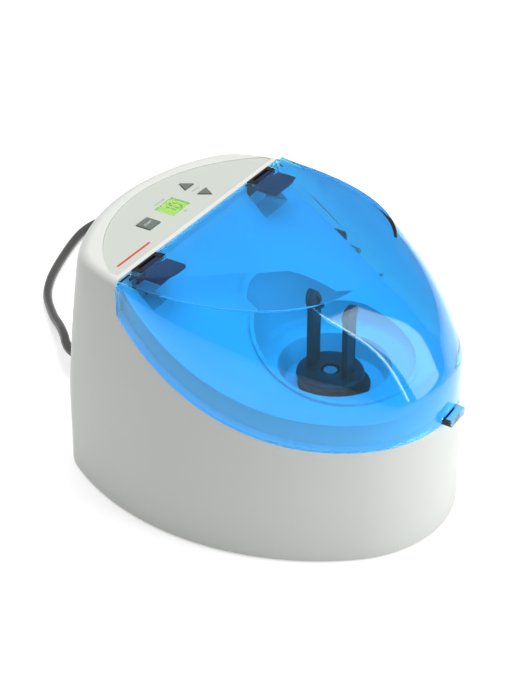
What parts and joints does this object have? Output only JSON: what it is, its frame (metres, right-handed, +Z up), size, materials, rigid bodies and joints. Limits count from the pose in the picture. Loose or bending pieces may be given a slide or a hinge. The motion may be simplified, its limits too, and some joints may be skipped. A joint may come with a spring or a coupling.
{
  "type": "dental amalgamator",
  "caption": "Bench-top capsule mixer: egg-shaped white housing, clear blue hinged lid over a well with a rocking fork, display and keys on top, mains lead at the back.",
  "frame": {"origin": "middle of the footprint on the table, under the housing", "axes": "+Z up, -Y towards the nose and the finger tab, +X to the right of a person facing the nose from behind the machine's front"},
  "size_m": [0.3604, 0.438, 0.1783],
  "materials": {
    "white_abs": "satin moulded ABS",
    "blue_clear": "clear tinted polycarbonate, polished",
    "overlay_grey": "matt printed polyester",
    "window_clear": "clear",
    "display_green": "matt",
    "circuit_green": "solder mask",
    "key_grey": "matt",
    "black_plastic": "satin black",
    "black_rubber": "matt rubber",
    "steel": "bright",
    "alloy": "cast",
    "can_grey": "painted",
    "core_grey": "stacked sheet",
    "winding": "taped coil",
    "brass": "plain",
    "red_plastic": "gloss"
  },
  "bodies": {
    "base": {"housing": "white_abs", "base_plate": "white_abs", "rubber_feet": "black_rubber", "base_screws": "steel", "control_overlay": "overlay_grey", "lcd_window": "window_clear", "display_module": "display_green", "control_board": "circuit_green", "board_spacers": "white_abs", "board_screws": "steel", "tact_switches": "black_plastic", "mixing_well": "white_abs", "rubber_boot": "black_rubber", "hinge_brackets": "black_plastic", "hinge_pins": "steel", "lid_switch": "black_plastic", "motor_can": "can_grey", "end_bells": "alloy", "shaft_bearings": "steel", "motor_screws": "steel", "motor_chassis": "steel", "vibration_mounts": "black_rubber", "mount_screws": "steel", "return_spring_front": "steel", "return_spring_rear": "steel", "transformer_core": "core_grey", "transformer_winding": "winding", "power_board": "circuit_green", "switch_frame": "black_plastic", "fuse_holder": "black_plastic", "fuse_cap": "black_plastic", "cord_gland": "black_plastic", "strain_relief": "black_rubber", "mains_cord": "black_rubber", "cord_coil": "black_rubber", "plug_lead": "black_rubber", "cord_tie": "black_plastic", "plug_body": "black_rubber", "plug_pins": "brass"},
    "lid": {"lid": "blue_clear", "hinge_arms": "black_plastic"},
    "start_key": {"start_key": "key_grey"},
    "up_key": {"up_key": "key_grey"},
    "down_key": {"down_key": "key_grey"},
    "lid_plunger": {"switch_plunger": "red_plastic"},
    "shaker": {"capsule_fork": "black_plastic", "shaker_arm": "alloy", "arm_outer_race": "steel", "fork_screw": "steel"},
    "rotor": {"motor_shaft": "steel", "oblique_sleeve": "brass", "arm_inner_race": "steel", "balance_weight": "brass", "rotor_core": "core_grey", "motor_fan": "black_plastic"},
    "rocker": {"switch_rocker": "red_plastic"}
  },
  "joints": [
    {"name": "lid_hinge", "type": "hinge", "parent": "base", "child": "lid", "pos_m": [0, 0.0495, 0.1754], "axis": [-1, 0, 0], "range_deg": [0, 80]},
    {"name": "start_press", "type": "slide", "parent": "base", "child": "start_key", "axis": [0, 0, -1], "range_m": [0, 0.0005], "stiffness_N_per_m": 800},
    {"name": "up_press", "type": "slide", "parent": "base", "child": "up_key", "axis": [0, 0, -1], "range_m": [0, 0.0005], "stiffness_N_per_m": 800},
    {"name": "down_press", "type": "slide", "parent": "base", "child": "down_key", "axis": [0, 0, -1], "range_m": [0, 0.0005], "stiffness_N_per_m": 800},
    {"name": "plunger_press", "type": "slide", "parent": "base", "child": "lid_plunger", "axis": [0, 1, 0], "range_m": [0, 0.0015], "stiffness_N_per_m": 200},
    {"name": "motor_spin", "type": "hinge", "parent": "base", "child": "rotor", "pos_m": [0, -0.044, 0.045], "axis": [0, 1, 0], "continuous": true},
    {"name": "shaker_rock", "type": "hinge", "parent": "base", "child": "shaker", "pos_m": [0, -0.044, 0.045], "axis": [1, 0, 0], "range_deg": [-6, 6], "stiffness_Nm_per_rad": 1.2, "deforming": ["return_spring_front", "return_spring_rear"]},
    {"name": "power_rocker", "type": "hinge", "parent": "base", "child": "rocker", "pos_m": [0, 0.1322, 0.072], "axis": [-1, 0, 0], "range_deg": [0, 14]}
  ]
}
